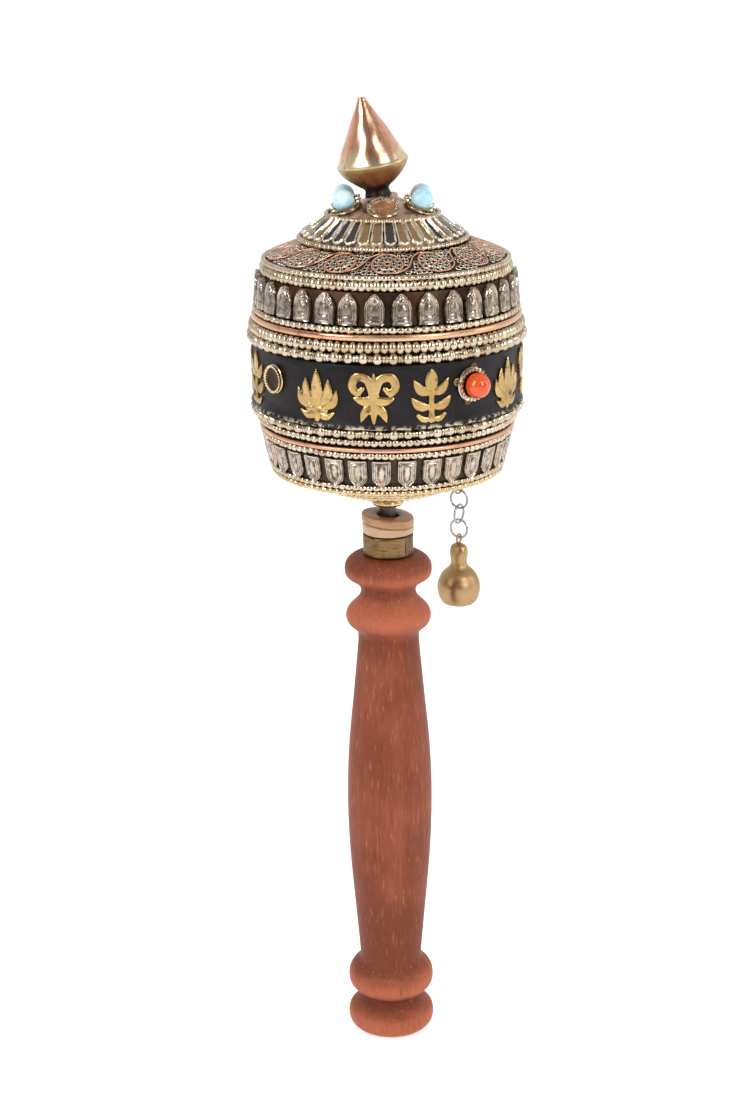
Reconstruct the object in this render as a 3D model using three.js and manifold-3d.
// Hand-held prayer wheel: a turned wooden handle with an iron spindle, on which a lidded
// drum turns, and a brass weight on a chain that hangs from the drum's side.
// Millimetres, +Z up. The origin is the middle of the handle's bottom face, and -Y is the front.
import * as THREE from 'three';
import { mergeVertices } from 'three/addons/utils/BufferGeometryUtils.js';
import Module from 'manifold-3d';

const wasm = await Module();
wasm.setup();

// ---- Driving dimensions -------------------------------------------------------------------
const GAP = 0.3; // play left between touching pieces
const DRUM_SEG = 32; // facets round the drum
const HANDLE_SEG = 24;
const SMALL_SEG = 12;
const WIRE_SIDES = 4; // facets round a plain wire ring

// Handle and spindle
const HANDLE_TOP_Z = 146.0; // the seat of the ferrule
const HANDLE_FOOT_R = 9.2; // flat end
const TENON_R = 5.6;
const TENON_TOP_Z = 151.1;
const SPINDLE_R = 2.25;
const SPINDLE_FOOT_Z = 95.3;
const SPINDLE_TIP_Z = 233.4;
const FERRULE_R = 7.0;
const FERRULE_TOP_Z = 152.1;
const WASHER_R = 7.25;
const WASHER_BORE_R = 3.1;
const WASHER_THICK = 2.5;
const WASHER_TILT_DEG = 6; // the lower washer is a wedge, so the upper one lies tilted

// Drum, from its hub up
const HUB_Z = 161.2;
const FLOOR_RIM_Z = 172.0;
const BAND_R = 35.85;
const BAND_LOW_Z = 190.6;
const BAND_TOP_Z = 207.2;
const WALL = 0.8;
const SEAM_Z = 213.6; // underside of the copper ring that the lid sits on
const SEAM_R = 36.2;

// Lid
const SHOULDER_Z = 229.4; // outer edge of the sloping top
const SHOULDER_R = 31.8;
const COLLAR_LOW_R = 22.1;
const COLLAR_LOW_Z = 234.3;
const COLLAR_TOP_R = 15.0;
const COLLAR_TOP_Z = 240.3;
const CAP_R = 14.1;
const CAP_EDGE_Z = 240.3;
const CAP_MIDDLE_Z = 245.0;
const CUP_HEIGHT = 1.2;
const CROWN_X = -0.8; // the collar and cap are soldered a little off the middle
const FINIAL_X = -2.0; // and so is the finial
const FINIAL_LEAN_DEG = 9.4; // towards -X
const FINIAL_NOD_DEG = 2.0; // towards the front
const FINIAL_R = 9.42;

// Stone settings, at angles from the front, turning towards +X
const BAND_STONE_DEG = 36;
const BAND_STONE_Z = 200.8;
const LID_STONE_TILT_DEG = 21.9;
// Settings on the cap: angle, distance from its middle, height, and whether the stone is there
const LID_SETTINGS = [
  [0, 9.4, 242.5, false],
  [65, 10.4, 242.1, true],
  [115, 10.4, 242.1, true],
  [180, 9.4, 242.5, false],
  [245, 10.4, 242.1, true],
  [295, 10.4, 242.1, true],
];

// Chain and weight
const CHAIN_R = 40.6; // distance of the hanging chain from the drum's axis
const CHAIN_DEG = 148.5; // its angle from the front, turning towards +X
const STAPLE_Z = 193.5;
const STAPLE_WIRE_R = 0.45;
const LINK_R = 2.75; // to the middle of the wire
const LINK_WIRE_R = 0.35;
const LINK_COUNT = 11;
const WEIGHT_BULB_R = 6.5;

// ---- Materials ----------------------------------------------------------------------------
const finish = (color, roughness, metalness) => () =>
  new THREE.MeshStandardMaterial({ color, roughness, metalness });
const wood = finish(0x8a4632, 0.6, 0);
const iron = finish(0x2a2725, 0.6, 0.8);
const agedBrass = finish(0x8f7650, 0.5, 0.9);
const bone = finish(0xcdb08c, 0.5, 0);
const honeyBone = finish(0xb08050, 0.45, 0);
const blackIron = finish(0x2f2b2f, 0.5, 0.6);
const whiteMetal = finish(0xc9bfa6, 0.35, 0.95);
const silver = finish(0xa8a098, 0.35, 0.95);
const copper = finish(0xb8694a, 0.35, 0.95);
const satinBrass = finish(0xa98a5c, 0.4, 0.95);
const filigree = finish(0x8d7468, 0.45, 0.9);
const paper = finish(0xd9cba6, 0.9, 0);
const coral = finish(0xe0492a, 0.25, 0);
const turquoise = finish(0x9fd0e0, 0.4, 0);

// ---- Shapes -------------------------------------------------------------------------------
const radians = THREE.MathUtils.degToRad;

// A body turned about Z from [radius, height] points, which run up the outside. The outline
// starts and ends on the axis, or is closed back on its first point.
function turned(outline, segments, closed = false) {
  const points = outline.map(([r, z]) => new THREE.Vector2(r, z));
  if (closed) points.push(points[0].clone());
  return new THREE.LatheGeometry(points, segments).rotateX(Math.PI / 2);
}

// A wire ring about Z.
function wireRing(radius, z, wireR) {
  return new THREE.TorusGeometry(radius, wireR, WIRE_SIDES, DRUM_SEG).translate(0, 0, z);
}

// A smooth outline through hand-set [radius, height] points.
function smooth(points, steps) {
  const curve = new THREE.SplineCurve(points.map(([r, z]) => new THREE.Vector2(r, z)));
  return curve.getPoints(steps).map(({ x, y }) => [x, y]);
}

function toSolid(geometry) {
  const bare = geometry.clone();
  bare.deleteAttribute('normal');
  bare.deleteAttribute('uv');
  const merged = mergeVertices(bare, 1e-4);
  const vertProperties = new Float32Array(merged.attributes.position.array);
  const triVerts = new Uint32Array(merged.index.array);
  return new wasm.Manifold(new wasm.Mesh({ numProp: 3, vertProperties, triVerts }));
}

function fromSolid(solid) {
  const { vertProperties, triVerts } = solid.getMesh();
  const geometry = new THREE.BufferGeometry();
  geometry.setAttribute('position', new THREE.BufferAttribute(vertProperties, 3));
  geometry.setIndex(new THREE.BufferAttribute(triVerts, 1));
  return geometry;
}

const group = new THREE.Group();
group.name = 'prayer_wheel';

function add(name, geometry, material, parent = group) {
  const mesh = new THREE.Mesh(geometry, material());
  mesh.name = name;
  parent.add(mesh);
  return mesh;
}

// A group whose +Z points away from the object at an angle from the front, leaned up from
// level by a rise, with its origin at a radius and height.
function outward(angleDeg, radius, z, riseDeg) {
  const turntable = new THREE.Group();
  turntable.rotation.z = radians(angleDeg - 90);
  const seat = new THREE.Group();
  seat.position.set(radius, 0, z);
  seat.rotation.y = radians(90 - riseDeg);
  turntable.add(seat);
  group.add(turntable);
  return seat;
}

// ---- Handle, ferrule, spindle and washers --------------------------------------------------
function addHandle() {
  const footDisc = [
    [HANDLE_FOOT_R, 0],
    [10.9, 0.35],
    [12.1, 1.6],
    [12.55, 3.3],
    [12.35, 5.0],
    [11.6, 6.1],
    [9.6, 7.3],
    [7.9, 8.6],
    [7.45, 9.5],
  ];
  const lowDisc = [
    [7.9, 10.3],
    [9.3, 11.3],
    [11.2, 12.6],
    [12.2, 14.1],
    [12.44, 15.8],
    [12.2, 17.6],
    [11.3, 19.3],
    [10.1, 20.5],
    [9.25, 21.6],
    [8.95, 23.2],
  ];
  const barrel = [
    [10.0, 36],
    [11.6, 56],
    [12.1, 73],
    [11.5, 89],
    [9.9, 105.5],
    [8.45, 122.6],
  ];
  const highDisc = [
    [8.75, 123.8],
    [9.9, 124.9],
    [11.2, 126.2],
    [11.78, 127.7],
    [11.75, 129.2],
    [11.0, 130.6],
    [9.5, 132.2],
    [8.2, 133.6],
    [7.55, 135.2],
  ];
  const topDisc = [
    [7.7, 136.4],
    [8.6, 137.7],
    [10.4, 139.1],
    [11.8, 140.4],
    [12.1, 142.0],
    [11.9, 143.4],
    [10.9, 144.8],
    [9.3, 145.8],
    [TENON_R, HANDLE_TOP_Z],
  ];
  const outline = [
    [0, 0],
    ...footDisc,
    ...lowDisc,
    ...smooth(barrel, 8),
    ...highDisc,
    ...topDisc,
    [TENON_R, TENON_TOP_Z],
    [SPINDLE_R + GAP, TENON_TOP_Z],
    [SPINDLE_R + GAP, SPINDLE_FOOT_Z - GAP],
    [0, SPINDLE_FOOT_Z - GAP],
  ];
  add('handle_grip', turned(outline, HANDLE_SEG), wood);

  const lip = TENON_TOP_Z + GAP;
  const ferrule = [
    [TENON_R + GAP, HANDLE_TOP_Z + GAP],
    [FERRULE_R, HANDLE_TOP_Z + GAP],
    [FERRULE_R, FERRULE_TOP_Z],
    [WASHER_BORE_R, FERRULE_TOP_Z],
    [WASHER_BORE_R, lip],
    [TENON_R + GAP, lip],
  ];
  add('ferrule', turned(ferrule, HANDLE_SEG, true), agedBrass);

  const spindle = [
    [0, SPINDLE_FOOT_Z],
    [SPINDLE_R, SPINDLE_FOOT_Z],
    [SPINDLE_R, SPINDLE_TIP_Z - 4],
    [0, SPINDLE_TIP_Z],
  ];
  add('spindle', turned(spindle, SMALL_SEG), iron);
}

function washerOutline(lowZ) {
  const topZ = lowZ + WASHER_THICK;
  const edge = 0.5;
  return [
    [WASHER_BORE_R, lowZ],
    [WASHER_R - edge, lowZ],
    [WASHER_R, lowZ + edge],
    [WASHER_R, topZ - edge],
    [WASHER_R - edge, topZ],
    [WASHER_BORE_R, topZ],
  ];
}

function addWashers() {
  const lowZ = FERRULE_TOP_Z + GAP;
  const middleZ = lowZ + WASHER_THICK / 2;
  const slope = Math.tan(radians(WASHER_TILT_DEG));
  const wedge = turned(washerOutline(lowZ), HANDLE_SEG, true);
  const place = wedge.attributes.position;
  for (let i = 0; i < place.count; i += 1) {
    if (place.getZ(i) > middleZ) place.setZ(i, place.getZ(i) - place.getX(i) * slope);
  }
  add('washer_lower', wedge, bone);

  const tilted = new THREE.Group();
  tilted.position.z = lowZ + WASHER_THICK + GAP;
  tilted.rotation.y = radians(WASHER_TILT_DEG);
  group.add(tilted);
  add('washer_upper', turned(washerOutline(0), HANDLE_SEG, true), honeyBone, tilted);
}

// ---- Drum ----------------------------------------------------------------------------------
function addDrum() {
  const shell = [
    [29.3, 171.4],
    [30.1, 171.4],
    [30.3, 174.4],
    [32.0, 181.8],
    [33.9, 190.0],
    [BAND_R + 0.9, BAND_LOW_Z],
    [BAND_R + 0.2, BAND_LOW_Z + 1.6],
    [BAND_R - 0.05, BAND_LOW_Z + 3],
    [BAND_R - 0.05, BAND_TOP_Z],
    [34.4, BAND_TOP_Z + 0.3],
    [34.2, SEAM_Z - GAP],
    [34.2 - WALL, SEAM_Z - GAP],
    [34.2 - WALL, BAND_TOP_Z],
    [34.0, BAND_TOP_Z - 2],
    [34.0, 191],
    [31.2, 181.8],
    [29.5, 174.4],
  ];
  add('drum_shell', turned(shell, DRUM_SEG, true), blackIron);

  const bandOf = (lowR, highR, thick, lowZ, highZ) => [
    [lowR, lowZ],
    [lowR + thick, lowZ],
    [highR + thick, highZ],
    [highR, highZ],
  ];
  add('lower_plaque_band', turned(bandOf(30.6, 32.3, 0.9, 174.6, 181.6), DRUM_SEG, true), silver);

  // The floor is a shallow cone with one raised ring, and a hole round the core tube.
  const floor = [
    [4.2, 163.0],
    [15.2, 166.9],
    [16.3, 166.2],
    [17.2, 167.5],
    [28.9, FLOOR_RIM_Z],
    [28.9, FLOOR_RIM_Z + 1.2],
    [16.3, 168.5],
    [4.2, 164.0],
  ];
  add('drum_floor', turned(floor, DRUM_SEG, true), satinBrass);

  const boreR = SPINDLE_R + 0.4;
  const bush = [
    [boreR, HUB_Z - 0.7],
    [4.0, HUB_Z - 0.7],
    [4.55, HUB_Z],
    [4.0, HUB_Z + 0.9],
    [3.9, 163.1],
    [boreR, 163.1],
  ];
  add('hub_bush', turned(bush, SMALL_SEG * 2, true), satinBrass);

  const tubeTop = SPINDLE_TIP_Z - 3;
  const tube = [
    [3.0, 163.4],
    [3.8, 163.4],
    [3.8, tubeTop],
    [3.0, tubeTop],
  ];
  add('core_tube', turned(tube, SMALL_SEG, true), iron);

  // The cup closes the tube's top and rests on the spindle's point.
  const cup = [
    [3.8 + GAP, 226],
    [5.4, 226],
    [5.4, 236],
    [0, 237],
  ];
  const recess = [
    [0, SPINDLE_TIP_Z + GAP],
    [SPINDLE_R + GAP, SPINDLE_TIP_Z - 3.2],
    [SPINDLE_R + GAP, tubeTop + GAP],
    [3.8 + GAP, tubeTop + GAP],
  ];
  add('pivot_cup', turned([...recess, ...cup], SMALL_SEG), agedBrass);

  const scroll = [
    [4.4, 175.5],
    [28.4, 175.5],
    [28.4, 212],
    [4.4, 212],
  ];
  add('prayer_scroll', turned(scroll, HANDLE_SEG, true), paper);

  const spigotR = 32.4;
  const seat = [
    [spigotR - WALL, 209.5],
    [33.0, 209.5],
    [33.0, SEAM_Z],
    [SEAM_R - 0.3, SEAM_Z],
    [SEAM_R, SEAM_Z + 0.6],
    [SEAM_R - 0.3, SEAM_Z + 1.3],
    [spigotR, SEAM_Z + 1.3],
    [spigotR, SEAM_Z + 6],
    [spigotR - WALL, SEAM_Z + 6],
  ];
  add('lid_seat_ring', turned(seat, DRUM_SEG, true), copper);

  const rows = [
    ['seam_bead_row', 35.7, 212.0, 1.05, whiteMetal],
    ['upper_bead_row', 36.25, 209.1, 1.4, whiteMetal],
    ['lower_bead_row', 35.6, 189.1, 1.2, whiteMetal],
    ['lower_fine_row', 34.45, 186.4, 0.8, whiteMetal],
    ['copper_wire', 34.0, 184.6, 0.6, copper],
    ['plaque_edge_row', 33.45, 182.8, 0.75, whiteMetal],
    ['base_bright_row', 31.45, 173.65, 0.55, whiteMetal],
    ['base_rim_row', 31.0, 172.1, 0.6, satinBrass],
  ];
  for (const [name, radius, z, wireR, material] of rows) {
    add(name, wireRing(radius, z, wireR), material);
  }
}

// ---- Lid -----------------------------------------------------------------------------------
function addLid() {
  const skirt = [
    [33.3, 215.4],
    [34.1, 215.4],
    [33.3, 225.2],
    [31.1, 225.4],
    [31.1, 228.2],
    [30.3, 228.2],
    [30.3, 224.6],
    [32.5, 224.3],
  ];
  add('lid_skirt', turned(skirt, DRUM_SEG, true), copper);

  const plaques = [
    [34.3, 216.95],
    [35.1, 216.95],
    [34.4, 225.1],
    [33.65, 225.1],
  ];
  add('upper_plaque_band', turned(plaques, DRUM_SEG, true), silver);

  add('lid_bead_row', wireRing(35.1, 215.9, 0.72), whiteMetal);

  // A thick beaded wire with a thin one soldered on top of it.
  const shoulderRows = [
    [31.5, 227.2],
    [31.6, 226.3],
    [32.2, 225.66],
    [33.2, 225.66],
    [33.9, 226.3],
    [33.9, 227.2],
    [33.2, 227.85],
    [33.05, 228.2],
    [33.3, 228.6],
    [33.3, 229.1],
    [32.95, 229.4],
    [32.55, 229.4],
    [32.2, 229.1],
    [32.2, 228.6],
    [32.4, 228.2],
    [32.2, 227.85],
  ];
  add('shoulder_bead_row', turned(shoulderRows, DRUM_SEG, true), whiteMetal);

  const shoulderInner = 20.6;
  const rise = (SHOULDER_R - shoulderInner) * 0.388;
  const shoulder = [
    [SHOULDER_R, SHOULDER_Z - 0.8],
    [SHOULDER_R, SHOULDER_Z],
    [shoulderInner, SHOULDER_Z + rise],
    [shoulderInner, SHOULDER_Z + rise - 0.8],
  ];
  add('lid_shoulder', turned(shoulder, DRUM_SEG, true), filigree);

  const crown = new THREE.Group();
  crown.position.x = CROWN_X;
  group.add(crown);

  const wireR = 0.75;
  const collar = [
    [COLLAR_LOW_R - 1.6, COLLAR_LOW_Z],
    [COLLAR_LOW_R, COLLAR_LOW_Z - 0.65],
    [COLLAR_LOW_R + wireR, COLLAR_LOW_Z],
    [COLLAR_LOW_R - 0.2, COLLAR_LOW_Z + wireR],
    [COLLAR_TOP_R, COLLAR_TOP_Z - 1.1],
    [COLLAR_TOP_R - 0.8, COLLAR_TOP_Z - 1.1],
  ];
  add('petal_collar', turned(collar, DRUM_SEG, true), whiteMetal, crown);

  const cap = [
    [0, CAP_MIDDLE_Z - 1],
    [4.4, CAP_MIDDLE_Z - 1.8],
    [CAP_R, CAP_EDGE_Z - 0.9],
    [CAP_R + 0.9, CAP_EDGE_Z - 0.6],
    [CAP_R + 1.5, CAP_EDGE_Z],
    [CAP_R + 0.9, CAP_EDGE_Z + 0.6],
    [CAP_R + 0.4, CAP_EDGE_Z + 0.05],
    [CAP_R, CAP_EDGE_Z],
    [4.4, CAP_MIDDLE_Z - 0.8],
    [3.9, CAP_MIDDLE_Z],
    [0, CAP_MIDDLE_Z],
  ];
  add('cap_plate', turned(cap, DRUM_SEG), copper, crown);
}

// The finial leans, and its foot is cut level where it meets the cap plate.
function addFinial() {
  const outline = [
    [0, -1.5],
    [3.4, -1.5],
    [3.25, 1.0],
    [4.5, 2.3],
    [6.1, 3.8],
    [7.6, 5.4],
    [8.8, 7.0],
    [FINIAL_R, 8.5],
    [1.35, 24.3],
    [1.1, 25.3],
    [0, 25.6],
  ];
  const leaned = turned(outline, HANDLE_SEG)
    .rotateX(radians(FINIAL_NOD_DEG))
    .rotateY(radians(-FINIAL_LEAN_DEG))
    .translate(FINIAL_X, 0, CAP_MIDDLE_Z + GAP);
  const below = new THREE.BoxGeometry(20, 20, 10).translate(0, 0, CAP_MIDDLE_Z + GAP - 5);
  add('finial', fromSolid(toSolid(leaned).subtract(toSolid(below))), copper);
}

// ---- Stones in their settings ----------------------------------------------------------------
// A setting is a shallow round cup; its stone is a bead with a flat back.
function addSetting(name, seat, cupR, material) {
  const wallR = cupR - 0.9;
  const cup = [
    [0, 0],
    [cupR, 0],
    [cupR, CUP_HEIGHT],
    [wallR, CUP_HEIGHT],
    [wallR, 0.5],
    [0, 0.5],
  ];
  add(name, turned(cup, SMALL_SEG), material, seat);
}

function addStone(name, seat, stoneR, middle, tall, material) {
  const back = 0.8;
  const start = Math.acos((middle - back) / (tall * stoneR));
  const steps = 5;
  const dome = Array.from({ length: steps + 1 }, (_, i) => {
    const turn = start + ((Math.PI - start) * i) / steps;
    return [i === steps ? 0 : stoneR * Math.sin(turn), middle - tall * stoneR * Math.cos(turn)];
  });
  add(name, turned([[0, back], ...dome], SMALL_SEG), material, seat);
}

// Four settings round the band, one of them empty, and six on the cap, two of them empty.
function addStones() {
  const bandEmpty = 3; // the fourth, at the front left
  for (let i = 0; i < 4; i += 1) {
    const seat = outward(BAND_STONE_DEG + 90 * i, BAND_R + GAP, BAND_STONE_Z, 0);
    addSetting(`band_setting_${i + 1}`, seat, i === bandEmpty ? 3.7 : 4.35, satinBrass);
    if (i !== bandEmpty) addStone(`band_stone_${i + 1}`, seat, 3.15, 2.8, 1, coral);
  }
  LID_SETTINGS.forEach(([angleDeg, radius, z, filled], i) => {
    const seat = outward(angleDeg, radius, z, 90 - LID_STONE_TILT_DEG);
    seat.parent.position.x = CROWN_X;
    addSetting(`lid_setting_${i + 1}`, seat, 4.15, whiteMetal);
    if (filled) addStone(`lid_stone_${i + 1}`, seat, 2.8, 2.3, 1.1, turquoise);
  });
}

// ---- Chain and weight ------------------------------------------------------------------------
const side = new THREE.Group(); // +X runs outward through the chain
side.rotation.z = radians(CHAIN_DEG - 90);
group.add(side);

// A U of wire, its legs let into the band and its bar level and outermost.
function addStaple() {
  const half = 2.1;
  const legIn = BAND_R + 0.3;
  const corners = [
    new THREE.Vector3(legIn, -half, STAPLE_Z),
    new THREE.Vector3(CHAIN_R - 0.9, -half, STAPLE_Z),
    new THREE.Vector3(CHAIN_R, -half + 0.9, STAPLE_Z),
    new THREE.Vector3(CHAIN_R, half - 0.9, STAPLE_Z),
    new THREE.Vector3(CHAIN_R - 0.9, half, STAPLE_Z),
    new THREE.Vector3(legIn, half, STAPLE_Z),
  ];
  const section = new THREE.Shape().absarc(0, 0, STAPLE_WIRE_R, 0, 2 * Math.PI);
  const options = { extrudePath: new THREE.CatmullRomCurve3(corners, false, 'chordal'), steps: 14 };
  add('chain_staple', new THREE.ExtrudeGeometry(section, { ...options, curveSegments: 3 }), iron, side);
}

function addLink(name, z, along, material) {
  const ring = new THREE.TorusGeometry(LINK_R, LINK_WIRE_R, 5, SMALL_SEG);
  ring.rotateX(Math.PI / 2);
  if (along) ring.rotateZ(Math.PI / 2);
  add(name, ring.translate(CHAIN_R, 0, z), material, side);
}

// Links hang in turn across and along the drum's side, each in the one above.
function addChain() {
  const pitch = 2 * LINK_R - 2 * LINK_WIRE_R - GAP;
  const firstZ = STAPLE_Z + STAPLE_WIRE_R + LINK_WIRE_R + GAP - LINK_R;
  for (let i = 0; i < LINK_COUNT; i += 1) {
    const number = String(i + 1).padStart(2, '0');
    addLink(`chain_link_${number}`, firstZ - i * pitch, i % 2 === 1, iron);
  }
  const ringZ = firstZ - LINK_COUNT * pitch;
  addLink('weight_ring', ringZ, LINK_COUNT % 2 === 1, iron);
  addWeight(ringZ - LINK_R);
}

// A gourd with a wire eye; the eye's top stands just above the ring's lowest point.
function addWeight(ringLowZ) {
  const eyeR = 1.3;
  const eyeWireR = 0.3;
  const eyeZ = ringLowZ + LINK_WIRE_R + eyeWireR + GAP - eyeR;
  const topZ = eyeZ - eyeR + 0.2;
  const footZ = topZ - 19.2;
  const gourd = [
    [0, footZ],
    [3.4, footZ + 0.1],
    [5.6, footZ + 2.0],
    [WEIGHT_BULB_R, footZ + 5.0],
    [6.2, footZ + 7.3],
    [5.2, footZ + 9.4],
    [3.1, footZ + 11.6],
    [2.5, footZ + 13.0],
    [2.8, footZ + 15.9],
    [2.1, footZ + 18.4],
    [0, topZ],
  ];
  const body = toSolid(turned(gourd, SMALL_SEG + 4));
  const eye = new THREE.TorusGeometry(eyeR, eyeWireR, 5, SMALL_SEG).rotateX(Math.PI / 2);
  const whole = body.add(toSolid(eye.translate(0, 0, eyeZ)));
  const mesh = add('weight', fromSolid(whole), satinBrass, side);
  mesh.position.x = CHAIN_R;
}

addHandle();
addWashers();
addDrum();
addLid();
addFinial();
addStones();
addStaple();
addChain();

export default group;
